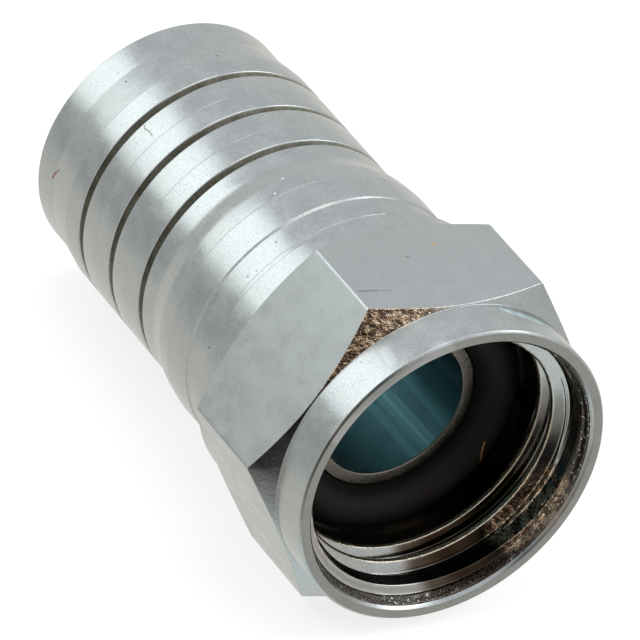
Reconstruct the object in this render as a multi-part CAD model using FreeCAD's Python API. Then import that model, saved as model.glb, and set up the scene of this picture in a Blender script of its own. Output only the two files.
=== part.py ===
import FreeCAD, Part
import math
import os

# F connector for coaxial cable, crimp type, in millimetres.
# The connector's own axis is drawn along +Z, from the mating face towards the cable end,
# and the finished pieces are then laid down as they rest: on one flat of the nut and on
# the crimp sleeve. In the finished frame +Z is up and the mating face looks towards -Y.

# Coupling nut, outside. The wrench size drives every other radius of the connector.
across_flats = 11.11
front_collar_setback = 0.055
collar_length = 1.52
chamfer_angle = 30.0
hex_length = 4.43
rear_collar_setback = 0.105
rear_collar_length = 1.00
nut_edge_break = 0.10

# Coupling nut, inside
mouth_wall = 0.37
mouth_bevel_width = 0.09
mouth_bevel_depth = 0.12
entry_depth = 1.00
entry_step = 0.64
thread_lead = 0.30
thread_length = 1.35
relief_wall = 0.755
relief_ramp = 0.25
lip_thickness = 1.70

# Rubber seal
seal_section_radius = 0.75
seal_squeeze = 0.02
seal_side_gap = 0.32

# Post
nose_wall = 0.48
nose_length = 0.80
nose_bevel = 0.08
flange_thickness = 0.50
flange_side_gap = 0.35
lip_clearance = 0.10
shoulder_wall = 1.18
shoulder_running_gap = 0.05
shoulder_grip = 2.20
tube_wall = 0.36
barb_height = 0.22
barb_length = 1.10
barb_pitch = 1.60
barb_count = 3
post_recess = 1.47

# Body and crimp sleeve
braid_space = 1.20
sleeve_wall = 0.735
body_gap = 0.10
shoulder_band_height = 0.265
shoulder_band_length = 1.23
front_band_setback = 0.05
front_band_length = 1.32
step_length = 0.04
flare_knee_setback = 0.08
flare_crown_length = 0.75
flare_foot_setback = 0.065
flare_length = 0.85
first_groove_offset = 0.95
groove_pitch = 2.07
groove_count = 3
groove_width = 0.31
groove_depth = 0.36
groove_edge_break = 0.05
sleeve_dip = 0.04
land_length = 0.85
tail_offset = 2.16
tail_setback = 0.175
tail_length = 1.22
sleeve_edge_radius = 0.14
sleeve_bore_gap = 0.05
sleeve_mouth_bevel = 0.20
press_overlap = 0.01
scribe_width = 0.07
scribe_depth = 0.03

# How far a trimming shape runs past what it trims
overrun = 1.0

# Places along the axis, measured back from the mating face
hex_back = collar_length + hex_length
nut_length = hex_back + rear_collar_length
thread_front = entry_depth + thread_lead
thread_end = thread_front + thread_length
lip_front = nut_length - lip_thickness
flange_back = lip_front - lip_clearance
flange_front = flange_back - flange_thickness
nose_front = flange_front - nose_length
seal_centre = flange_front - seal_section_radius
body_front = nut_length + body_gap
shoulder_end = body_front + shoulder_grip
front_band_end = body_front + front_band_length
flare_start = front_band_end + shoulder_band_length
flare_knee = flare_start + flare_crown_length
flare_foot = flare_knee + flare_length
groove_backs = [
    flare_foot + first_groove_offset + number * groove_pitch for number in range(groove_count)
]
tail_taper_end = groove_backs[-1] + tail_offset
sleeve_end = tail_taper_end + tail_length
sleeve_bore_front = shoulder_end + sleeve_bore_gap
post_end = sleeve_end - post_recess

# Radii of the nut that follow
hex_inradius = across_flats / 2
hex_corner_radius = hex_inradius / math.cos(math.radians(30))
collar_radius = hex_inradius - front_collar_setback
rear_collar_radius = hex_inradius - rear_collar_setback
mouth_radius = collar_radius - mouth_wall
entry_radius = mouth_radius - mouth_bevel_width
thread_minor_radius = entry_radius - entry_step
relief_radius = hex_inradius - relief_wall
chamfer_slope = math.tan(math.radians(chamfer_angle))
flat_back_edge = hex_back - rear_collar_setback * chamfer_slope

# Radii of the seal, the post and the body that follow
seal_ring_radius = relief_radius - seal_side_gap - seal_section_radius
nose_radius = seal_ring_radius - seal_section_radius + seal_squeeze
bore_radius = nose_radius - nose_wall
flange_radius = relief_radius - flange_side_gap
shoulder_radius = bore_radius + shoulder_wall
lip_bore_radius = shoulder_radius + shoulder_running_gap
tube_radius = bore_radius + tube_wall
sleeve_bore_radius = tube_radius + braid_space
sleeve_radius = sleeve_bore_radius + sleeve_wall
shoulder_band_radius = sleeve_radius + shoulder_band_height
front_band_radius = shoulder_band_radius - front_band_setback
flare_knee_radius = shoulder_band_radius - flare_knee_setback
flare_foot_radius = sleeve_radius - flare_foot_setback
tail_radius = sleeve_radius - tail_setback


def line_profile(points):
    """A closed wire through (radius, height) points in the plane that holds the axis."""
    corners = [FreeCAD.Vector(radius, 0, height) for radius, height in points]
    return Part.makePolygon(corners + corners[:1])


def turned(points):
    """A solid turned about the axis from (radius, height) points."""
    face = Part.Face(line_profile(points))
    return face.revolve(FreeCAD.Vector(0, 0, 0), FreeCAD.Vector(0, 0, 1), 360)


def hexagon_bar(start, end):
    """A hexagonal bar with one pair of flats facing +Y and -Y."""
    corners = []
    for number in range(6):
        angle = math.radians(number * 60)
        across = hex_corner_radius * math.cos(angle)
        up = hex_corner_radius * math.sin(angle)
        corners.append(FreeCAD.Vector(across, up, start))
    face = Part.Face(Part.makePolygon(corners + corners[:1]))
    return face.extrude(FreeCAD.Vector(0, 0, end - start))


def chamfered_blank():
    """The turned blank whose two sloping faces chamfer the hexagon's corners."""
    beyond = hex_corner_radius + overrun
    front_rise = (beyond - collar_radius) * chamfer_slope
    back_rise = (beyond - rear_collar_radius) * chamfer_slope
    outline = [
        (0, collar_length),
        (collar_radius, collar_length),
        (beyond, collar_length + front_rise),
        (beyond, hex_back - back_rise),
        (rear_collar_radius, hex_back),
        (0, hex_back),
    ]
    corners = [FreeCAD.Vector(radius, 0, height) for radius, height in outline]
    edges = []
    for start, end in zip(corners, corners[1:] + corners[:1]):
        if start.x != end.x and start.z != end.z:
            slope = Part.BezierCurve()
            slope.setPoles([start, end])
            edges.append(slope.toShape())
        else:
            edges.append(Part.makeLine(start, end))
    face = Part.Face(Part.Wire(edges))
    return face.revolve(FreeCAD.Vector(0, 0, 0), FreeCAD.Vector(0, 0, 1), 360)


def make_coupling_nut():
    hexagon = hexagon_bar(collar_length, hex_back).common(chamfered_blank())
    front_collar = turned([
        (0, 0),
        (collar_radius - nut_edge_break, 0),
        (collar_radius, nut_edge_break),
        (collar_radius, collar_length),
        (0, collar_length),
    ])
    rear_collar = turned([
        (0, hex_back),
        (rear_collar_radius, hex_back),
        (rear_collar_radius, nut_length - nut_edge_break),
        (rear_collar_radius - nut_edge_break, nut_length),
        (0, nut_length),
    ])
    blank = hexagon.fuse([front_collar, rear_collar]).removeSplitter()
    cavity = turned([
        (0, -overrun),
        (mouth_radius, -overrun),
        (mouth_radius, 0),
        (entry_radius, mouth_bevel_depth),
        (entry_radius, entry_depth),
        (thread_minor_radius, thread_front),
        (thread_minor_radius, thread_end),
        (relief_radius, thread_end + relief_ramp),
        (relief_radius, lip_front),
        (lip_bore_radius, lip_front),
        (lip_bore_radius, nut_length + overrun),
        (0, nut_length + overrun),
    ])
    return blank.cut(cavity)


def make_post():
    outline = [
        (bore_radius, nose_front),
        (nose_radius - nose_bevel, nose_front),
        (nose_radius, nose_front + nose_bevel),
        (nose_radius, flange_front),
        (flange_radius, flange_front),
        (flange_radius, flange_back),
        (shoulder_radius, flange_back),
        (shoulder_radius, shoulder_end),
        (tube_radius, shoulder_end),
    ]
    first_barb = post_end - barb_count * barb_pitch
    for number in range(barb_count):
        base = first_barb + number * barb_pitch
        outline += [
            (tube_radius, base),
            (tube_radius + barb_height, base),
            (tube_radius, base + barb_length),
        ]
    outline += [(tube_radius, post_end), (bore_radius, post_end)]
    return turned(outline)


def make_seal():
    ring_centre = FreeCAD.Vector(0, 0, seal_centre)
    return Part.makeTorus(seal_ring_radius, seal_section_radius, ring_centre, FreeCAD.Vector(0, 0, 1))


def groove_outline(back):
    """One groove, with the edge behind it broken."""
    front = back - groove_width
    floor = sleeve_radius - groove_depth
    return [
        (sleeve_radius - sleeve_dip, front),
        (floor, front),
        (floor, back),
        (sleeve_radius - groove_edge_break, back),
        (sleeve_radius, back + groove_edge_break),
    ]


def scribe_outline(radius, height):
    """A fine turned line in the surface."""
    return [
        (radius, height - scribe_width / 2),
        (radius - scribe_depth, height),
        (radius, height + scribe_width / 2),
    ]


def sleeve_outline():
    """The body's outer outline, from its front face back to the sleeve's end."""
    outline = [
        (front_band_radius - nut_edge_break, body_front),
        (front_band_radius, body_front + nut_edge_break),
        (front_band_radius, front_band_end),
        (shoulder_band_radius, front_band_end + step_length),
    ]
    outline += scribe_outline(shoulder_band_radius, flare_start)
    outline += [(flare_knee_radius, flare_knee), (flare_foot_radius, flare_foot)]
    for back in groove_backs:
        outline += groove_outline(back)
        outline += scribe_outline(sleeve_radius, back + land_length)
    outline += [
        (tail_radius, tail_taper_end),
        (tail_radius, sleeve_end - sleeve_edge_radius),
        (tail_radius - sleeve_edge_radius, sleeve_end),
    ]
    return outline


def make_body():
    inside = [
        (sleeve_bore_radius + sleeve_mouth_bevel, sleeve_end),
        (sleeve_bore_radius, sleeve_end - sleeve_mouth_bevel),
        (sleeve_bore_radius, sleeve_bore_front),
        (shoulder_radius - press_overlap, sleeve_bore_front),
        (shoulder_radius - press_overlap, body_front),
    ]
    return turned(sleeve_outline() + inside)


def resting_tilt():
    """How far the axis dips towards the cable end when the connector lies on a flat."""
    slopes = []
    for radius, height in sleeve_outline() + [(rear_collar_radius, nut_length - nut_edge_break)]:
        slopes.append(math.atan2(hex_inradius - radius, height - flat_back_edge))
    return min(slope for slope in slopes if slope > 0)


def lay_down(shapes):
    """Turn the axis from +Z to the way the connector lies, and set it on the ground."""
    tilt = math.degrees(resting_tilt())
    laid = []
    for shape in shapes:
        shape.rotate(FreeCAD.Vector(0, 0, 0), FreeCAD.Vector(1, 0, 0), -90 - tilt)
        laid.append(shape)
    box = Part.makeCompound(laid).optimalBoundingBox()
    shift = FreeCAD.Vector(0, -(box.YMin + box.YMax) / 2, -box.ZMin)
    for shape in laid:
        shape.translate(shift)
    return shift


pieces = {
    "coupling_nut": make_coupling_nut(),
    "post": make_post(),
    "o_ring": make_seal(),
    "body": make_body(),
}
origin_shift = lay_down(list(pieces.values()))

os.makedirs("parts", exist_ok=True)
for name, shape in pieces.items():
    shape.exportStep("parts/" + name + ".step")
    print(name, "valid", shape.isValid(), "solids", len(shape.Solids), "volume", round(shape.Volume, 2))
print("tilt", round(math.degrees(resting_tilt()), 6), "mating face centre", tuple(origin_shift))
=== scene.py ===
import math

import bpy
import numpy as np
from mathutils import Matrix, Vector


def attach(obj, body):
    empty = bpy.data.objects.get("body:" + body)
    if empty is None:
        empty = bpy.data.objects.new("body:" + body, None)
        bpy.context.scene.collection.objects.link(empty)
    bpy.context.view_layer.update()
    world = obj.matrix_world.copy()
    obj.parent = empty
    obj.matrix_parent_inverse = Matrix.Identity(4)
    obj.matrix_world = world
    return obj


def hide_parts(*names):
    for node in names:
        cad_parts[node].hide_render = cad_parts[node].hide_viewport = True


# F connector of the crimp type, lying on one flat of its nut and on its sleeve.
# Sizes are in millimetres. The connector's own frame has its axis along z, from the mating
# face (z = 0) to the cable end, x across and y towards the ground.

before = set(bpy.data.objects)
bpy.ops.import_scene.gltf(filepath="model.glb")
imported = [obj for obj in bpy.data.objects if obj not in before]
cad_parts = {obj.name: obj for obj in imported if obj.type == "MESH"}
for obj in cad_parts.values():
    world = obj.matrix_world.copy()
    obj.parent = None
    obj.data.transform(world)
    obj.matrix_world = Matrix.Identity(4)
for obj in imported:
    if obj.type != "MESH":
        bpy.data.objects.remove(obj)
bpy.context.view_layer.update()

MM = 0.001
TILT = math.radians(3.751523)
MATING_FACE = Vector((0.0, -9.784482, 5.928437))
ACROSS = Vector((1.0, 0.0, 0.0))
DOWN = Vector((0.0, -math.sin(TILT), -math.cos(TILT)))
ALONG = Vector((0.0, math.cos(TILT), -math.sin(TILT)))
PLACE = Matrix((
    (ACROSS.x, DOWN.x, ALONG.x, MATING_FACE.x * MM),
    (ACROSS.y, DOWN.y, ALONG.y, MATING_FACE.y * MM),
    (ACROSS.z, DOWN.z, ALONG.z, MATING_FACE.z * MM),
    (0.0, 0.0, 0.0, 1.0),
))

# Meshes
TURN_STEPS = 384
SEAL_STEPS = 256
SEAL_OUTLINE_STEPS = 64
SHARP_EDGE = 0.015
FILLET_STEPS = 4
NORMAL_WEIGHT = 80

# Coupling nut
HEX_INRADIUS = 5.555
HEX_EDGE_RADIUS = 0.09
HEX_EDGE_ANGLES = (0.0, 0.14, 0.27, 0.42)
COLLAR_RADIUS = 5.50
COLLAR_LENGTH = 1.52
REAR_COLLAR_RADIUS = 5.45
HEX_BACK = 5.95
NUT_LENGTH = 6.95
NUT_EDGE_BREAK = 0.10
RIM_EDGE_BREAK = 0.07
CHAMFER_SLOPE = math.tan(math.radians(30))
FRONT_CHAMFER_REACH = 3.0
MOUTH_RADIUS = 5.13
ENTRY_RADIUS = 5.04
MOUTH_BEVEL_DEPTH = 0.12
ENTRY_DEPTH = 0.16
CREST_RADIUS = 4.40
ROOT_RADIUS = 4.76
THREAD_END = 2.65
RELIEF_START = 2.90
RELIEF_RADIUS = 4.80
LIP_FRONT = 5.25
LIP_BORE_RADIUS = 3.75

# Thread, 3/8 inch with 32 turns an inch, right-handed
PITCH = 25.4 / 32
CREST_FLAT = 0.20
CREST_ROUNDING = 0.035
THREAD_PHASE = -0.06
ROWS_PER_PITCH = 32
# The entry's radius against the depth, where its step is highest and where it has run out.
# The step isn't quite square to the axis.
ENTRY_DEPTHS = (0.00, 0.49, 0.56, 1.06, 1.20, 1.46)
STEPPED_RADII = np.array((5.04, 4.93, 4.64, 4.56, 4.40, 4.40))
RUN_OUT_RADII = np.array((5.04, 4.98, 4.95, 4.92, 4.88, 4.40))
STEP_HIGHEST = math.radians(120)
STEP_TILT = 0.126
STEP_TOWARDS = math.radians(140)
THREAD_FRONT = 0.9
CREST_BAND = 0.04

# Body and crimp sleeve
BODY_FRONT = 7.05
FRONT_BAND_RADIUS = 5.03
SHOULDER_BAND_RADIUS = 5.08
PRESS_RADIUS = 3.69
SLEEVE_RADIUS = 4.815
SLEEVE_TAIL_RADIUS = 4.64
SLEEVE_BORE_RADIUS = 4.08
SLEEVE_BORE_FRONT = 9.30
SLEEVE_END = 19.67
GROOVE_BACKS = (12.15, 14.22, 16.29)
GROOVE_WIDTH = 0.29
GROOVE_DEPTH = 0.30
LAND_LENGTH = 0.85
SCRIBE_WIDTH = 0.05
SCRIBE_DEPTH = 0.005

# Post
BORE_RADIUS = 2.52
NOSE_RADIUS = 3.00
NOSE_FRONT = 3.85
NOSE_BEVEL = 0.08
FLANGE_RADIUS = 4.45
FLANGE_FRONT = 4.65
FLANGE_BACK = 5.15
SHOULDER_RADIUS = 3.70
SHOULDER_END = 9.25
TUBE_RADIUS = 2.88
BARB_RADIUS = 3.10
BARB_LENGTH = 1.10
BARB_BASES = (13.40, 15.00, 16.60)
POST_END = 18.20

# Rubber seal
SEAL_RING_RADIUS = 3.73
SEAL_SECTION_RADIUS = 0.75
SEAL_CENTRE = 3.90

# Heights of the plating's fine relief
GRAIN_HEIGHT = 0.0007
PIT_HEIGHT = 0.0003
SWELL_HEIGHT = 0.12
SPOT_DEPTH = 0.004


# Shader helpers

def node(tree, kind, inputs=None, **settings):
    """A new node with its settings, and its inputs set to values or linked to sockets."""
    made = tree.nodes.new(kind)
    for name, value in settings.items():
        setattr(made, name, value)
    for name, value in (inputs or {}).items():
        if isinstance(value, bpy.types.NodeSocket):
            tree.links.new(value, made.inputs[name])
        else:
            made.inputs[name].default_value = value
    return made


def maths(tree, operation, *values, clamp=False):
    inputs = dict(enumerate(values))
    return node(tree, "ShaderNodeMath", inputs, operation=operation, use_clamp=clamp).outputs[0]


def ramp(tree, value, low, high, start=0.0, end=1.0):
    """Takes value from low..high to start..end, and holds it beyond them."""
    inputs = {"Value": value, "From Min": low, "From Max": high, "To Min": start, "To Max": end}
    return node(tree, "ShaderNodeMapRange", inputs, interpolation_type="SMOOTHSTEP").outputs[0]


def blend(tree, share, a, b):
    """Colour a where share is 0, and b where it is 1."""
    inputs = {"Factor": share}
    made = node(tree, "ShaderNodeMix", inputs, data_type="RGBA")
    for socket, value in ((made.inputs[6], a), (made.inputs[7], b)):
        if isinstance(value, bpy.types.NodeSocket):
            tree.links.new(value, socket)
        else:
            socket.default_value = (*value, 1.0)
    return made.outputs[2]


def noise(tree, vector, scale, detail=2.0, roughness=0.5):
    inputs = {"Vector": vector, "Scale": scale, "Detail": detail, "Roughness": roughness}
    return node(tree, "ShaderNodeTexNoise", inputs).outputs[0]


def own_place(tree):
    """Where a point lies in the connector's own frame, in millimetres."""
    place = node(tree, "ShaderNodeTexCoord").outputs["Object"]
    inputs = {
        "Vector": place,
        "Location": MATING_FACE * MM,
        "Rotation": PLACE.to_euler(),
        "Scale": (MM, MM, MM),
    }
    return node(tree, "ShaderNodeMapping", inputs, vector_type="TEXTURE").outputs[0]


def stretched(tree, place, x, y, z):
    inputs = {0: place, 1: (x, y, z)}
    return node(tree, "ShaderNodeVectorMath", inputs, operation="MULTIPLY").outputs[0]


def capsule(tree, place, start, end, radius):
    """1 within radius of the line from start to end, fading to 0 at twice as far."""
    start, end = Vector(start), Vector(end)
    line = end - start
    off = node(tree, "ShaderNodeVectorMath", {0: place, 1: start}, operation="SUBTRACT").outputs[0]
    along = node(tree, "ShaderNodeVectorMath", {0: off, 1: line}, operation="DOT_PRODUCT")
    share = maths(tree, "DIVIDE", along.outputs["Value"], line.length_squared, clamp=True)
    inputs = {0: line, "Scale": share}
    near = node(tree, "ShaderNodeVectorMath", inputs, operation="SCALE").outputs[0]
    gap = node(tree, "ShaderNodeVectorMath", {0: off, 1: near}, operation="DISTANCE")
    return ramp(tree, gap.outputs["Value"], radius, 2 * radius, 1.0, 0.0)


def new_material(name):
    material = bpy.data.materials.new(name)
    material.use_nodes = True
    tree = material.node_tree
    return material, tree, tree.nodes["Principled BSDF"]


def specks(tree, place, scale, size, share):
    """Small round spots, present in only a share of the cells of a fine pattern."""
    inputs = {"Vector": place, "Scale": scale, "Randomness": 1.0}
    cells = node(tree, "ShaderNodeTexVoronoi", inputs)
    picked = node(tree, "ShaderNodeSeparateColor", {0: cells.outputs["Color"]})
    chosen = maths(tree, "LESS_THAN", picked.outputs[0], share)
    spread = maths(tree, "MULTIPLY_ADD", picked.outputs[1], size, size * 0.4)
    spot = maths(tree, "SUBTRACT", spread, cells.outputs["Distance"])
    spot = ramp(tree, spot, 0.0, size * 0.5)
    return maths(tree, "MULTIPLY", spot, chosen)


def nickel(
    name, colour, roughness, grain, mottle=0.1, dust=0.2, torn=0.0,
    front=None, brass_and_glints=None, marks=(),
):
    """Nickel plating. grain is how the tool marks run: the scales of a noise along x, y and z.
    mottle is how far the colour's level varies, and dust the share of cells with a dark speck.
    torn is the height of torn metal. front is a darker colour before a depth, painted shade
    with pale glints that are painted highlights, and only there is the metal torn. The
    argument after front is the start, end, radius, relief and three colours of a place where
    the brass shows: two brass colours, and pale glints that are painted highlights. marks are
    (start, end, radius, colour, share) lines, which carry dirt, rust and painted light."""
    material, tree, shader = new_material(name)
    place = own_place(tree)
    cloud = noise(tree, place, 1.3, 3.0, 0.6)
    fine = noise(tree, place, 14.0, 2.0, 0.7)
    level = ramp(tree, fine, 0.25, 0.75, 1.0 - mottle, 1.0 + mottle)
    wide = ramp(tree, cloud, 0.3, 0.7, 1.0 - mottle * 0.5, 1.0 + mottle * 0.5)
    level = maths(tree, "MULTIPLY", level, wide)
    # Before the depth the colour is darker, painted shade, with pale glints in it that are painted
    # highlights
    if front:
        shade, depth = front
        z = node(tree, "ShaderNodeSeparateXYZ", {0: place}).outputs["Z"]
        before = ramp(tree, z, depth, depth + 0.12, 1.0, 0.0)
        glint = ramp(tree, noise(tree, place, 7.0, 2.0, 0.6), 0.60, 0.66)
        colour = blend(tree, before, colour, blend(tree, glint, shade, PALE))
    base = node(tree, "ShaderNodeVectorMath", {0: colour, "Scale": level}, operation="SCALE")
    paint = base.outputs[0]
    spots = specks(tree, place, 8.0, 0.14, dust)
    paint = blend(tree, maths(tree, "MULTIPLY", spots, 0.4), paint, DARK)
    for start, end, radius, shade, share in marks:
        mask = maths(tree, "MULTIPLY", capsule(tree, place, start, end, radius), share)
        paint = blend(tree, mask, paint, shade)
    tree.links.new(paint, shader.inputs["Base Color"])
    shader.inputs["Metallic"].default_value = 1.0
    rough = ramp(tree, cloud, 0.3, 0.7, roughness * 0.85, roughness * 1.15)
    tree.links.new(maths(tree, "MULTIPLY_ADD", spots, 0.2, rough), shader.inputs["Roughness"])
    lines = noise(tree, stretched(tree, place, *grain), 1.0, 2.0, 0.6)
    pits = noise(tree, place, 18.0, 1.0, 0.5)
    swell = noise(tree, place, 0.9, 1.0, 0.5)
    height = maths(tree, "MULTIPLY", lines, GRAIN_HEIGHT)
    height = maths(tree, "MULTIPLY_ADD", pits, PIT_HEIGHT, height)
    height = maths(tree, "MULTIPLY_ADD", swell, SWELL_HEIGHT * mottle, height)
    height = maths(tree, "MULTIPLY_ADD", spots, -SPOT_DEPTH, height)
    if torn:
        coarse = noise(tree, place, 4.5, 4.0, 0.75)
        rise = maths(tree, "MULTIPLY", coarse, torn)
        if front:
            rise = maths(tree, "MULTIPLY", rise, before)
        height = maths(tree, "ADD", height, rise)
    if brass_and_glints:
        start, end, radius, relief, colours = brass_and_glints
        mask = capsule(tree, place, start, end, radius)
        flakes = noise(tree, place, 3.4, 3.0, 0.7)
        brass = blend(tree, ramp(tree, flakes, 0.40, 0.60), *colours[:2])
        # The pale glints mixed into the brass are painted highlights
        glint = ramp(tree, noise(tree, place, 7.5, 2.0, 0.6), 0.61, 0.66)
        brass = blend(tree, glint, brass, colours[2])
        tree.links.new(blend(tree, mask, paint, brass), shader.inputs["Base Color"])
        rise = maths(tree, "MULTIPLY", flakes, mask)
        height = maths(tree, "MULTIPLY_ADD", rise, relief, height)
    inputs = {"Height": height, "Strength": 1.0, "Distance": MM}
    tree.links.new(node(tree, "ShaderNodeBump", inputs).outputs[0], shader.inputs["Normal"])
    return material


# Colours of the plating, of the marks on it and of painted highlights
NICKEL = (0.375, 0.392, 0.385)
DARK = (0.08, 0.07, 0.06)
PALE = (0.90, 0.92, 0.92)
# The icy colour is for painted highlights; PALE serves both pale spots and painted highlights
ICY_HIGHLIGHT = (0.72, 0.98, 1.00)
RUSTY = (0.22, 0.07, 0.05)

# How the tool marks run: round the axis, or along it
TURNED_GRAIN = (0.5, 0.5, 26.0)
DRAWN_GRAIN = (16.0, 16.0, 0.6)
BORED_GRAIN = (14.0, 14.0, 0.4)

# Single marks at given places: rust, dark specks and lines and pale spots on the body, a lighter
# band on part of the rim's face, and painted highlights on the collar
TURNED_MARKS_AND_HIGHLIGHTS = (
    ((-4.64, 0.16, 18.62), (-4.64, -0.12, 18.50), 0.030, RUSTY, 0.8),
    ((-4.64, -0.12, 18.50), (-4.65, -0.36, 18.30), 0.022, RUSTY, 0.8),
    ((-3.36, -3.45, 15.92), (-3.39, -3.41, 15.78), 0.016, DARK, 0.6),
    ((-3.39, -3.41, 15.78), (-3.36, -3.45, 15.58), 0.018, DARK, 0.6),
    ((-3.36, -3.45, 15.58), (-3.37, -3.44, 15.34), 0.016, DARK, 0.6),
    ((-1.53, -4.76, 10.35), (-1.52, -4.77, 10.34), 0.028, PALE, 0.9),
    ((-2.09, -4.61, 9.82), (-2.08, -4.62, 9.80), 0.024, PALE, 0.9),
    ((-4.54, 1.58, 17.19), (-4.54, 1.60, 17.22), 0.03, DARK, 0.6),
    ((-2.91, -3.67, 18.15), (-2.90, -3.68, 18.10), 0.025, DARK, 0.6),
    ((-0.13, -4.78, 17.39), (-0.10, -4.78, 17.35), 0.025, DARK, 0.6),
    ((-4.98, -0.72, 7.42), (-4.98, -0.70, 7.45), 0.025, DARK, 0.6),
    ((-3.95, -3.12, 7.68), (-3.93, -3.14, 7.66), 0.025, DARK, 0.6),
    ((-2.95, -4.07, 7.98), (-2.93, -4.09, 7.96), 0.025, DARK, 0.6),
    ((-4.6, -2.4, 0.0), (-1.5, -5.0, 0.0), 0.25, (0.56, 0.59, 0.60), 0.6),
    # Painted highlights on the collar: a faint pale streak, then pale icy streaks
    ((-2.97, -4.63, 1.02), (-3.03, -4.59, 0.50), 0.11, PALE, 0.15),
    ((1.26, -5.35, 1.31), (1.49, -5.30, 1.18), 0.04, ICY_HIGHLIGHT, 0.4),
    ((1.49, -5.30, 1.18), (1.94, -5.15, 1.08), 0.08, ICY_HIGHLIGHT, 0.4),
    ((1.94, -5.15, 1.08), (2.60, -4.85, 1.02), 0.11, ICY_HIGHLIGHT, 0.5),
    ((2.60, -4.85, 1.02), (3.31, -4.39, 1.12), 0.06, ICY_HIGHLIGHT, 0.4),
)
FLAT_MARKS = (
    ((-3.04, -5.56, 2.98), (-2.45, -5.56, 2.90), 0.025, DARK, 0.5),
    ((-2.45, -5.56, 2.90), (-1.98, -5.56, 2.79), 0.018, DARK, 0.4),
    ((0.77, -5.56, 4.83), (0.80, -5.56, 4.80), 0.04, (0.55, 0.42, 0.18), 0.8),
    ((-0.46, -5.56, 4.37), (-0.44, -5.56, 4.37), 0.03, DARK, 0.6),
)
# Painted reflections: pale teal streaks along the bore. Painted shade: a wide dark band along one
# side of it
BORE_PAINTED_LIGHT = (
    ((1.73, 1.83, 7.5), (1.79, 1.77, 2.9), 0.17, (0.60, 0.95, 1.00), 0.35),
    ((1.73, 1.83, 7.5), (1.79, 1.77, 2.9), 0.04, (0.80, 1.00, 1.00), 0.50),
    ((1.92, 1.63, 6.5), (1.96, 1.59, 2.9), 0.03, (0.70, 1.00, 1.00), 0.35),
    ((2.27, 1.09, 6.8), (2.24, 1.14, 2.9), 0.08, (0.60, 0.95, 1.00), 0.30),
    ((1.30, 2.15, 6.8), (1.32, 2.14, 2.9), 0.09, (0.60, 0.92, 1.00), 0.35),
    ((2.50, 0.30, 6.8), (2.50, 0.30, 2.9), 0.35, (0.10, 0.20, 0.24), 0.60),
)
THREAD_PAINTED_LIGHT = (
    # Painted shade: three wide dark patches over the thread. Painted highlights: pale strokes, and
    # gold strokes in the nut's mouth
    ((1.1, 4.4, 0.9), (1.1, 4.4, 2.6), 0.6, (0.07, 0.052, 0.036), 0.85),
    ((2.2, 3.9, 0.9), (2.2, 3.9, 2.6), 0.8, (0.04, 0.030, 0.022), 0.95),
    ((3.4, 2.9, 0.9), (3.4, 2.9, 2.6), 0.8, (0.05, 0.038, 0.028), 0.95),
    ((3.62, 3.09, 1.25), (3.34, 3.36, 1.15), 0.05, PALE, 0.9),
    ((3.70, 3.42, 0.85), (3.38, 3.74, 0.87), 0.04, PALE, 0.9),
    ((3.45, 3.55, 1.00), (3.10, 3.90, 1.00), 0.14, (0.75, 0.45, 0.20), 0.7),
    ((5.00, 0.20, 0.70), (4.98, 0.45, 0.72), 0.05, (0.95, 0.80, 0.40), 0.8),
)

# Where the brass shows, from start to end, and its three colours there: two brass colours, and a
# pale glint that is a painted highlight
BARE_CORNER = ((-3.30, -5.00, 1.70), (-3.29, -5.00, 1.70))
BRASS_AND_GLINTS = ((0.16, 0.12, 0.09), (0.66, 0.51, 0.36), (1.0, 0.90, 0.70))
BARE_THREAD = ((4.55, 1.80, 0.85), (3.55, 3.40, 1.10))
THREAD_BRASS_AND_GLINTS = ((0.17, 0.13, 0.10), (0.78, 0.60, 0.43), (1.0, 0.93, 0.80))

turned_nickel = nickel("nickel_turned", NICKEL, 0.27, TURNED_GRAIN, marks=TURNED_MARKS_AND_HIGHLIGHTS)
flat_nickel = nickel(
    "nickel_drawn", NICKEL, 0.30, DRAWN_GRAIN, mottle=0.04, dust=0.1, marks=FLAT_MARKS
)
# The grooves' darker, yellower colour is painted shade
shaded_groove_nickel = nickel("nickel_groove_painted_shade", (0.27, 0.265, 0.22), 0.55, TURNED_GRAIN, mottle=0.3)
# The nut's front chamfers are torn metal; at one corner brass shows, with painted glints
torn_nickel = nickel(
    "nickel_torn", NICKEL, 0.24, TURNED_GRAIN, torn=0.010,
    brass_and_glints=(*BARE_CORNER, 1.6, 0.10, BRASS_AND_GLINTS),
)
# Inside the nut: a darker front that is painted shade with painted glints, brass with painted
# glints on the thread, and the thread's painted shade and highlights
inner_nickel = nickel(
    "nickel_inside", (0.38, 0.38, 0.36), 0.16, TURNED_GRAIN, dust=0.15, torn=0.07,
    front=((0.15, 0.13, 0.115), 0.46), brass_and_glints=(*BARE_THREAD, 0.50, 0.065, THREAD_BRASS_AND_GLINTS),
    marks=THREAD_PAINTED_LIGHT,
)
# The crests' pale gold colour is a painted highlight
crest_highlight_nickel = nickel("nickel_crest_painted_highlight", (0.80, 0.70, 0.52), 0.25, TURNED_GRAIN, torn=0.025)
post_nickel = nickel("nickel_post", (0.25, 0.25, 0.232), 0.25, TURNED_GRAIN, torn=0.01)
# The bore's teal tint is a painted reflection
bore_reflection_nickel = nickel(
    "nickel_bore_painted_reflection", (0.34, 0.50, 0.53), 0.36, BORED_GRAIN, dust=0.05, marks=BORE_PAINTED_LIGHT
)

# A hair that lies on the seal
HAIR = ((3.34, 1.42, 3.157), (3.31, 1.81, 3.151), (3.41, 2.19, 3.223), (3.52, 2.50, 3.433))


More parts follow.
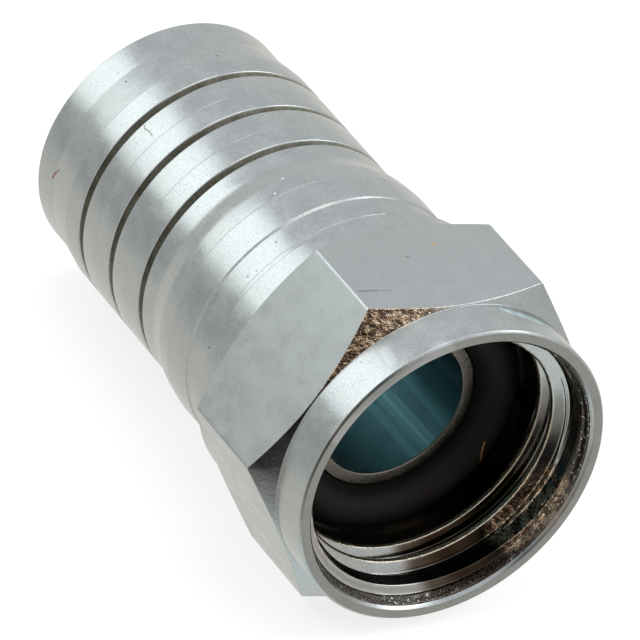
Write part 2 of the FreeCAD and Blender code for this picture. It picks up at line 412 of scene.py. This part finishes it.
def rubber():
    """Dull black rubber, with the hair on it."""
    material, tree, shader = new_material("rubber_black")
    place = own_place(tree)
    cloud = noise(tree, place, 2.0, 3.0, 0.6)
    fine = noise(tree, place, 25.0, 2.0, 0.6)
    paint = blend(tree, cloud, (0.006, 0.005, 0.0045), (0.016, 0.012, 0.010))
    for start, end in zip(HAIR, HAIR[1:]):
        hair = capsule(tree, place, start, end, 0.018)
        paint = blend(tree, maths(tree, "MULTIPLY", hair, 0.9), paint, (0.34, 0.19, 0.07))
    tree.links.new(paint, shader.inputs["Base Color"])
    shader.inputs["Specular IOR Level"].default_value = 0.3
    tree.links.new(ramp(tree, fine, 0.3, 0.7, 0.50, 0.66), shader.inputs["Roughness"])
    inputs = {"Height": maths(tree, "MULTIPLY", fine, 0.002), "Strength": 1.0, "Distance": MM}
    tree.links.new(node(tree, "ShaderNodeBump", inputs).outputs[0], shader.inputs["Normal"])
    return material


black_rubber = rubber()


# Mesh helpers

def fillet(points, closed):
    """Round a line's corners. A point is (radius, height) or (radius, height, rounding)."""
    flat = [np.array(p[:2], float) for p in points]
    sizes = [p[2] if len(p) > 2 else SHARP_EDGE for p in points]
    count = len(points)
    line = []
    for i in range(count):
        here = flat[i]
        if not closed and i in (0, count - 1):
            line.append(here)
            continue
        before = flat[i - 1] - here
        after = flat[(i + 1) % count] - here
        reach_before, reach_after = np.linalg.norm(before), np.linalg.norm(after)
        before, after = before / reach_before, after / reach_after
        half = math.acos(max(-1.0, min(1.0, float(before @ after)))) / 2
        if half > math.radians(89.5):
            line.append(here)
            continue
        reach = min(sizes[i] / math.tan(half), 0.45 * reach_before, 0.45 * reach_after)
        start, end = here + before * reach, here + after * reach
        for k in range(FILLET_STEPS + 1):
            s = k / FILLET_STEPS
            line.append((1 - s) ** 2 * start + 2 * s * (1 - s) * here + s * s * end)
    return np.array(line)


def mesh_piece(name, points, faces, slots, materials, body, node_name):
    """A smooth mesh, drawn in the connector's own frame, that stands for a CAD node."""
    mesh = bpy.data.meshes.new(name)
    mesh.from_pydata((np.asarray(points) * MM).tolist(), [], faces)
    mesh.transform(PLACE)
    for material in materials:
        mesh.materials.append(material)
    mesh.polygons.foreach_set("material_index", slots)
    mesh.polygons.foreach_set("use_smooth", [True] * len(faces))
    mesh.update()
    piece = bpy.data.objects.new(name, mesh)
    bpy.context.scene.collection.objects.link(piece)
    weighted = piece.modifiers.new("even_normals", "WEIGHTED_NORMAL")
    weighted.weight = NORMAL_WEIGHT
    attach(piece, body)
    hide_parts(node_name)
    return piece


def turned_piece(name, outline, materials, choose, body, node_name, steps=TURN_STEPS):
    """A closed outline turned about the axis. choose gives a segment's material by its middle."""
    line = fillet(outline, True)
    r, z = line[:, 0], line[:, 1]
    if np.sum(r * np.roll(z, -1) - np.roll(r, -1) * z) > 0:
        line = line[::-1]
    angles = np.arange(steps) * 2 * math.pi / steps
    count = len(line)
    points = np.empty((steps, count, 3))
    points[:, :, 0] = np.cos(angles)[:, None] * line[None, :, 0]
    points[:, :, 1] = np.sin(angles)[:, None] * line[None, :, 0]
    points[:, :, 2] = line[None, :, 1]
    kinds = [choose(*middle) for middle in (line + np.roll(line, -1, axis=0)) / 2]
    faces, slots = [], []
    for i in range(steps):
        here, there = i * count, (i + 1) % steps * count
        for j in range(count):
            k = (j + 1) % count
            faces.append((here + k, there + k, there + j, here + j))
            slots.append(kinds[j])
    return mesh_piece(name, points.reshape(-1, 3), faces, slots, materials, body, node_name)


# Body

def scribe(radius, height):
    """A fine turned line."""
    return [
        (radius, height - SCRIBE_WIDTH / 2, 0.01),
        (radius - SCRIBE_DEPTH, height, 0.01),
        (radius, height + SCRIBE_WIDTH / 2, 0.01),
    ]


def body_outline():
    """The body's line, from its front face over the outside and in through the bore."""
    outline = [
        (FRONT_BAND_RADIUS - NUT_EDGE_BREAK, BODY_FRONT, 0.03),
        (FRONT_BAND_RADIUS, BODY_FRONT + NUT_EDGE_BREAK, 0.03),
        (5.035, 7.42, 0.01),
        (5.042, 7.43, 0.01),
        (5.035, 8.34, 0.03),
        (5.075, 8.41, 0.05),
    ]
    outline += scribe(SHOULDER_BAND_RADIUS, 9.60)
    outline += [(5.00, 10.35, 1.8), (4.75, 11.20, 1.2)]
    for back in GROOVE_BACKS:
        outline += [
            (SLEEVE_RADIUS, back - GROOVE_WIDTH, 0.03),
            (SLEEVE_RADIUS - GROOVE_DEPTH, back - 0.25, 0.03),
            (SLEEVE_RADIUS - 0.26, back - 0.11, 0.06),
            (SLEEVE_RADIUS, back, 0.07),
        ]
        outline += scribe(SLEEVE_RADIUS, back + LAND_LENGTH)
    outline += [
        (SLEEVE_TAIL_RADIUS, 18.45, 0.4),
        (SLEEVE_TAIL_RADIUS, SLEEVE_END - 0.14, 0.05),
        (SLEEVE_TAIL_RADIUS - 0.14, SLEEVE_END, 0.05),
        (SLEEVE_BORE_RADIUS + 0.20, SLEEVE_END, 0.02),
        (SLEEVE_BORE_RADIUS, SLEEVE_END - 0.20, 0.02),
        (SLEEVE_BORE_RADIUS, SLEEVE_BORE_FRONT, 0.05),
        (PRESS_RADIUS, SLEEVE_BORE_FRONT),
        (PRESS_RADIUS, BODY_FRONT),
    ]
    return outline


def body_slot(r, z):
    """Groove walls and floors take the second material, whose darker, yellower colour is painted
    shade.
    """
    in_groove = any(back - GROOVE_WIDTH < z < back for back in GROOVE_BACKS)
    return 1 if in_groove and SLEEVE_BORE_RADIUS + 0.3 < r < SLEEVE_RADIUS - 0.07 else 0


turned_piece(
    "sleeve_dressed", body_outline(), (turned_nickel, shaded_groove_nickel), body_slot,
    "cable_side", "body",
)


# Post

def post_outline():
    """The post's line, from its bore over the nose and the flange to the barbed tube."""
    outline = [
        (BORE_RADIUS, NOSE_FRONT, 0.05),
        (NOSE_RADIUS - NOSE_BEVEL, NOSE_FRONT, 0.03),
        (NOSE_RADIUS, NOSE_FRONT + NOSE_BEVEL, 0.03),
        (NOSE_RADIUS, FLANGE_FRONT, 0.05),
        (FLANGE_RADIUS, FLANGE_FRONT, 0.03),
        (FLANGE_RADIUS, FLANGE_BACK, 0.03),
        (SHOULDER_RADIUS, FLANGE_BACK),
        (SHOULDER_RADIUS, SHOULDER_END, 0.03),
        (TUBE_RADIUS, SHOULDER_END, 0.05),
    ]
    for base in BARB_BASES:
        outline += [(TUBE_RADIUS, base), (BARB_RADIUS, base), (TUBE_RADIUS, base + BARB_LENGTH)]
    outline += [(TUBE_RADIUS, POST_END, 0.03), (BORE_RADIUS, POST_END, 0.03)]
    return outline


def post_slot(r, z):
    """The bore takes the second material."""
    return 1 if r < BORE_RADIUS + 0.01 and z > NOSE_FRONT + 0.05 else 0


turned_piece(
    "post_dressed", post_outline(), (post_nickel, bore_reflection_nickel), post_slot, "cable_side", "post"
)


# Rubber seal

def seal_outline():
    """A circle, as (radius, height) points."""
    points = []
    for number in range(SEAL_OUTLINE_STEPS):
        angle = 2 * math.pi * number / SEAL_OUTLINE_STEPS
        r = SEAL_RING_RADIUS + SEAL_SECTION_RADIUS * math.cos(angle)
        points.append((r, SEAL_CENTRE + SEAL_SECTION_RADIUS * math.sin(angle)))
    return points


turned_piece(
    "seal_dressed", seal_outline(), (black_rubber,), lambda r, z: 0, "cable_side", "o_ring",
    SEAL_STEPS,
)


# Coupling nut

TURNED, FLAT, TORN, INSIDE, CREST = range(5)


def hex_radius(angle):
    """Distance from the axis to the hexagon's surface, its edges slightly rounded."""
    off = math.radians((math.degrees(angle) + 30) % 60 - 30)
    straight = HEX_INRADIUS - HEX_EDGE_RADIUS
    centre = straight / math.cos(math.radians(30))
    half_side = straight * math.tan(math.radians(30))
    arc_starts = math.radians(30) - math.atan(half_side / HEX_INRADIUS)
    if abs(off) < arc_starts:
        rest = HEX_EDGE_RADIUS ** 2 - (centre * math.sin(off)) ** 2
        return centre * math.cos(off) + math.sqrt(rest)
    return HEX_INRADIUS / math.cos(math.radians(30) - abs(off))


def nut_angles():
    """Even steps, with more of them at the hexagon's edges."""
    angles = {round(math.radians(360 * k / TURN_STEPS), 9) for k in range(TURN_STEPS)}
    for corner in range(6):
        for off in HEX_EDGE_ANGLES:
            for side in (-off, off):
                angles.add(round(math.radians((60 * corner + side) % 360), 9))
    return sorted(angles)


def nut_outside(angle):
    """The nut's line at one angle, from the entry over the outside and in to the relief."""
    radius = hex_radius(angle)
    front = COLLAR_LENGTH + (radius - COLLAR_RADIUS) * CHAMFER_SLOPE
    back = HEX_BACK - (radius - REAR_COLLAR_RADIUS) * CHAMFER_SLOPE
    return fillet([
        (ENTRY_RADIUS, ENTRY_DEPTH),
        (ENTRY_RADIUS, MOUTH_BEVEL_DEPTH, 0.03),
        (MOUTH_RADIUS, 0.0, 0.02),
        (COLLAR_RADIUS - RIM_EDGE_BREAK, 0.0, 0.02),
        (COLLAR_RADIUS, RIM_EDGE_BREAK, 0.04),
        (COLLAR_RADIUS, COLLAR_LENGTH, 0.03),
        (radius, front, 0.05),
        (radius, back, 0.05),
        (REAR_COLLAR_RADIUS, HEX_BACK, 0.03),
        (REAR_COLLAR_RADIUS, NUT_LENGTH - NUT_EDGE_BREAK, 0.04),
        (REAR_COLLAR_RADIUS - NUT_EDGE_BREAK, NUT_LENGTH, 0.04),
        (LIP_BORE_RADIUS, NUT_LENGTH, 0.03),
        (LIP_BORE_RADIUS, LIP_FRONT, 0.03),
        (RELIEF_RADIUS, LIP_FRONT, 0.05),
        (RELIEF_RADIUS, RELIEF_START),
    ], False)


def thread_radius(along):
    """How far from the axis the thread's metal starts, at a place along its pitch."""
    place = (along / PITCH) % 1.0
    off = min(place, 1.0 - place) * PITCH
    off -= CREST_FLAT / 2
    rise = (off + math.hypot(off, CREST_ROUNDING)) / 2 / math.tan(math.radians(30))
    return min(CREST_RADIUS + rise, ROOT_RADIUS)


def thread_column(angle, points, first, last):
    """The thread's points at one angle, in rows that follow the helix. Rows beyond its ends
    share the end points first and last."""
    rows = int(math.ceil((RELIEF_START - ENTRY_DEPTH) / PITCH * ROWS_PER_PITCH)) + ROWS_PER_PITCH
    step_shift = STEP_TILT * math.cos(angle - STEP_TOWARDS)
    run_out = (1 - math.cos(angle - STEP_HIGHEST)) / 2
    run_out *= run_out * (3 - 2 * run_out)
    entry_radii = STEPPED_RADII + run_out * (RUN_OUT_RADII - STEPPED_RADII)
    ramp_slope = (RELIEF_RADIUS - CREST_RADIUS) / (RELIEF_START - THREAD_END)
    turn = angle / (2 * math.pi)
    column = []
    for row in range(rows):
        z = ENTRY_DEPTH + PITCH * (row / ROWS_PER_PITCH - 1 + turn)
        if z <= ENTRY_DEPTH + 1e-6:
            column.append(first)
        elif z >= RELIEF_START - 1e-6:
            column.append(last)
        else:
            depth = z - step_shift
            entry = float(np.interp(depth, ENTRY_DEPTHS, entry_radii))
            end_ramp = CREST_RADIUS + (z - THREAD_END) * ramp_slope
            r = max(entry, end_ramp)
            if depth > THREAD_FRONT:
                r = max(r, thread_radius(z - PITCH * turn - THREAD_PHASE))
            column.append(len(points))
            points.append((r * math.cos(angle), r * math.sin(angle), z))
    return column


def nut_slot(start, end):
    """The material of one segment of the nut's line at a corner of the hexagon."""
    (r0, z0), (r1, z1) = start, end
    r, z = (r0 + r1) / 2, (z0 + z1) / 2
    on_hexagon = r > COLLAR_RADIUS + 0.01
    if z < 0.6 * MOUTH_BEVEL_DEPTH and r > ENTRY_RADIUS + 0.01:
        return TURNED
    if r < MOUTH_RADIUS and z < NUT_LENGTH - 0.02:
        return INSIDE
    if on_hexagon and abs(r1 - r0) < 0.3 * abs(z1 - z0):
        return FLAT
    if on_hexagon and z < FRONT_CHAMFER_REACH:
        return TORN
    return TURNED


def nut_piece():
    """The nut's outside and its thread, as one closed mesh."""
    angles = nut_angles()
    points, starts, columns = [], [], []
    for angle in angles:
        line = nut_outside(angle)
        starts.append(len(points))
        points += [(r * math.cos(angle), r * math.sin(angle), z) for r, z in line]
        columns.append(thread_column(angle, points, starts[-1], starts[-1] + len(line) - 1))
    corner_line = nut_outside(0.0)
    kinds = [nut_slot(a, b) for a, b in zip(corner_line, corner_line[1:])]
    faces, slots = [], []
    for i in range(len(angles)):
        j = (i + 1) % len(angles)
        for k, kind in enumerate(kinds):
            here, there = starts[i] + k, starts[j] + k
            faces.append((here, here + 1, there + 1, there))
            slots.append(kind)
        here, there = columns[i], columns[j]
        if j == 0:
            there = there[ROWS_PER_PITCH:] + there[-1:] * ROWS_PER_PITCH
        for row in range(len(here) - 1):
            ring = (here[row + 1], here[row], there[row], there[row + 1])
            corners = [p for p, q in zip(ring, ring[1:] + ring[:1]) if p != q]
            if len(set(corners)) > 2:
                x, y, _ = np.mean([points[p] for p in corners], axis=0)
                faces.append(tuple(corners))
                on_crest = math.hypot(x, y) < CREST_RADIUS + CREST_BAND
                slots.append(CREST if on_crest else INSIDE)
    materials = (turned_nickel, flat_nickel, torn_nickel, inner_nickel, crest_highlight_nickel)
    return mesh_piece("nut_dressed", points, faces, slots, materials, "nut", "coupling_nut")


nut_piece()


# Camera, placed by the ellipses of the connector's circles

CAMERA_FACE = Vector((4.18939, 4.93324, 251.45882))
CAMERA_ALONG = Vector((-0.48045463, -0.55413717, 0.67977595))
CAMERA_UP = Vector((0.18836847, -0.82221025, -0.53711043))
CAMERA_ACROSS = CAMERA_ALONG.cross(CAMERA_UP)
CAMERA_LENS = 450
SENSOR_WIDTH = 36
CLIP_START = 0.01


def from_camera(direction):
    """A direction of the camera's own frame (right, down, away) in the world."""
    return (
        ACROSS * CAMERA_ACROSS.dot(direction)
        + ALONG * CAMERA_ALONG.dot(direction)
        - DOWN * CAMERA_UP.dot(direction)
    )


right = from_camera(Vector((1, 0, 0)))
up = from_camera(Vector((0, -1, 0)))
back = from_camera(Vector((0, 0, -1)))
spot = (MATING_FACE - from_camera(CAMERA_FACE)) * MM
camera_data = bpy.data.cameras.new("camera")
camera_data.lens = CAMERA_LENS
camera_data.sensor_width = SENSOR_WIDTH
camera_data.clip_start = CLIP_START
camera = bpy.data.objects.new("camera", camera_data)
camera.matrix_world = Matrix((
    (right.x, up.x, back.x, spot.x),
    (right.y, up.y, back.y, spot.y),
    (right.z, up.z, back.z, spot.z),
    (0, 0, 0, 1),
))
bpy.context.scene.collection.objects.link(camera)
bpy.context.scene.camera = camera
bpy.context.scene.view_settings.view_transform = "Standard"


# Floor and light

LAMP_DISTANCE = 0.4
FLOOR_HALF = 2
# Places in the room: azimuth, elevation, outer and inner angle, colour
ROOM_PLACES = (
    (-10, -62, 34, 24, (1.12, 1.22, 1.24)),
    (36, -30, 30, 14, (0.68, 0.65, 0.61)),
    (2, 14, 29, 22, (0.50, 0.40, 0.31)),
    (-134, -2, 32, 10, (0.66, 0.69, 0.70)),
)


def heading(azimuth, elevation):
    """The direction at an azimuth (0 towards -Y, 90 towards +X) and elevation, in degrees."""
    a, e = math.radians(azimuth), math.radians(elevation)
    return Vector((math.sin(a) * math.cos(e), -math.cos(a) * math.cos(e), math.sin(e)))


def seen_rays(tree):
    """1 for rays that show the background itself: from the camera, or mirrored or refracted."""
    path = node(tree, "ShaderNodeLightPath")
    seen = maths(tree, "MAXIMUM", path.outputs["Is Camera Ray"], path.outputs["Is Glossy Ray"])
    return maths(tree, "MAXIMUM", seen, path.outputs["Is Transmission Ray"])


def make_floor():
    """A pale floor, shown white with the connector's shadow on it."""
    mesh = bpy.data.meshes.new("floor")
    corners = [(x * FLOOR_HALF, y * FLOOR_HALF, 0) for x, y in ((-1, -1), (1, -1), (1, 1), (-1, 1))]
    mesh.from_pydata(corners, [], [(0, 1, 2, 3)])
    floor = bpy.data.objects.new("floor", mesh)
    bpy.context.scene.collection.objects.link(floor)
    floor.visible_glossy = False
    material = bpy.data.materials.new("floor")
    material.use_nodes = True
    tree = material.node_tree
    tree.nodes.clear()
    plain = node(tree, "ShaderNodeBsdfDiffuse", {"Color": (0.80, 0.80, 0.80, 1)})
    shaded = node(tree, "ShaderNodeBsdfDiffuse", {"Color": (0.30, 0.30, 0.30, 1)})
    glow = node(tree, "ShaderNodeEmission", {"Color": (0.76, 0.76, 0.76, 1)})
    shown = node(tree, "ShaderNodeAddShader", {0: shaded.outputs[0], 1: glow.outputs[0]})
    inputs = {0: seen_rays(tree), 1: plain.outputs[0], 2: shown.outputs[0]}
    both = node(tree, "ShaderNodeMixShader", inputs)
    node(tree, "ShaderNodeOutputMaterial", {"Surface": both.outputs[0]})
    mesh.materials.append(material)


def make_world():
    """A pale room with a few darker places, which the plating mirrors."""
    world = bpy.data.worlds.new("studio")
    bpy.context.scene.world = world
    world.use_nodes = True
    tree = world.node_tree
    tree.nodes.clear()
    way = node(tree, "ShaderNodeTexCoord").outputs["Generated"]
    height = node(tree, "ShaderNodeSeparateXYZ", {0: way}).outputs["Z"]

    def near(azimuth, elevation, outer, inner):
        """1 inside the inner angle from a heading, and 0 beyond the outer one."""
        inputs = {0: way, 1: heading(azimuth, elevation)}
        share = node(tree, "ShaderNodeVectorMath", inputs, operation="DOT_PRODUCT").outputs["Value"]
        return ramp(tree, share, math.cos(math.radians(outer)), math.cos(math.radians(inner)))

    walls = blend(tree, ramp(tree, height, 0.05, 0.5), (0.90, 0.91, 0.89), (0.98, 1.01, 1.05))
    below = (0.97, 0.96, 0.91)
    walls = blend(tree, ramp(tree, height, -0.4, 0.0), below, walls)
    edge = blend(tree, ramp(tree, height, -0.1, 0.1), (0.45, 0.44, 0.42), (0.55, 0.41, 0.31))
    edge = blend(tree, near(-23, -5, 37, 20), edge, (0.02, 0.018, 0.016))
    for *place, shade in ROOM_PLACES:
        walls = blend(tree, near(*place), walls, shade)
    light = blend(tree, near(-23, -5, 54, 40), walls, edge)
    light = blend(tree, near(-36, 32, 22, 12), light, (0.06, 0.09, 0.10))
    camera_ray = node(tree, "ShaderNodeLightPath").outputs["Is Camera Ray"]
    colour = blend(tree, camera_ray, light, (1.0, 1.0, 1.0))
    sky = node(tree, "ShaderNodeBackground", {"Color": colour, "Strength": 1.0})
    node(tree, "ShaderNodeOutputWorld", {"Surface": sky.outputs[0]})


def make_lamp(name, azimuth, elevation, towards, size, radiance, colour):
    """A soft lamp that looks at the connector, with its brightness as it is seen. One side of
    it lies along the way to the heading towards."""
    data = bpy.data.lights.new(name, "AREA")
    data.shape = "RECTANGLE"
    across, along = size
    data.size, data.size_y = across, along
    data.energy = radiance * math.pi * across * along
    data.color = colour
    lamp = bpy.data.objects.new(name, data)
    back = heading(azimuth, elevation)
    side = back.cross(heading(*towards).cross(back)).normalized()
    top = back.cross(side)
    lamp.matrix_world = Matrix((
        (side.x, top.x, back.x, LAMP_DISTANCE * back.x),
        (side.y, top.y, back.y, LAMP_DISTANCE * back.y),
        (side.z, top.z, back.z, LAMP_DISTANCE * back.z),
        (0, 0, 0, 1),
    ))
    bpy.context.scene.collection.objects.link(lamp)


make_floor()
make_world()
make_lamp("softbox", -141.7, 27.8, (180, 5), (0.27, 0.26), 1.65, (0.92, 0.99, 1.0))
make_lamp("edge_light", 75.0, 46.0, (75, 0), (0.20, 0.16), 4.0, (0.95, 0.99, 1.0))
make_lamp("overhead", 180.0, 80.0, (90, 0), (0.24, 0.22), 2.0, (1.0, 0.99, 0.96))

bpy.context.view_layer.update()
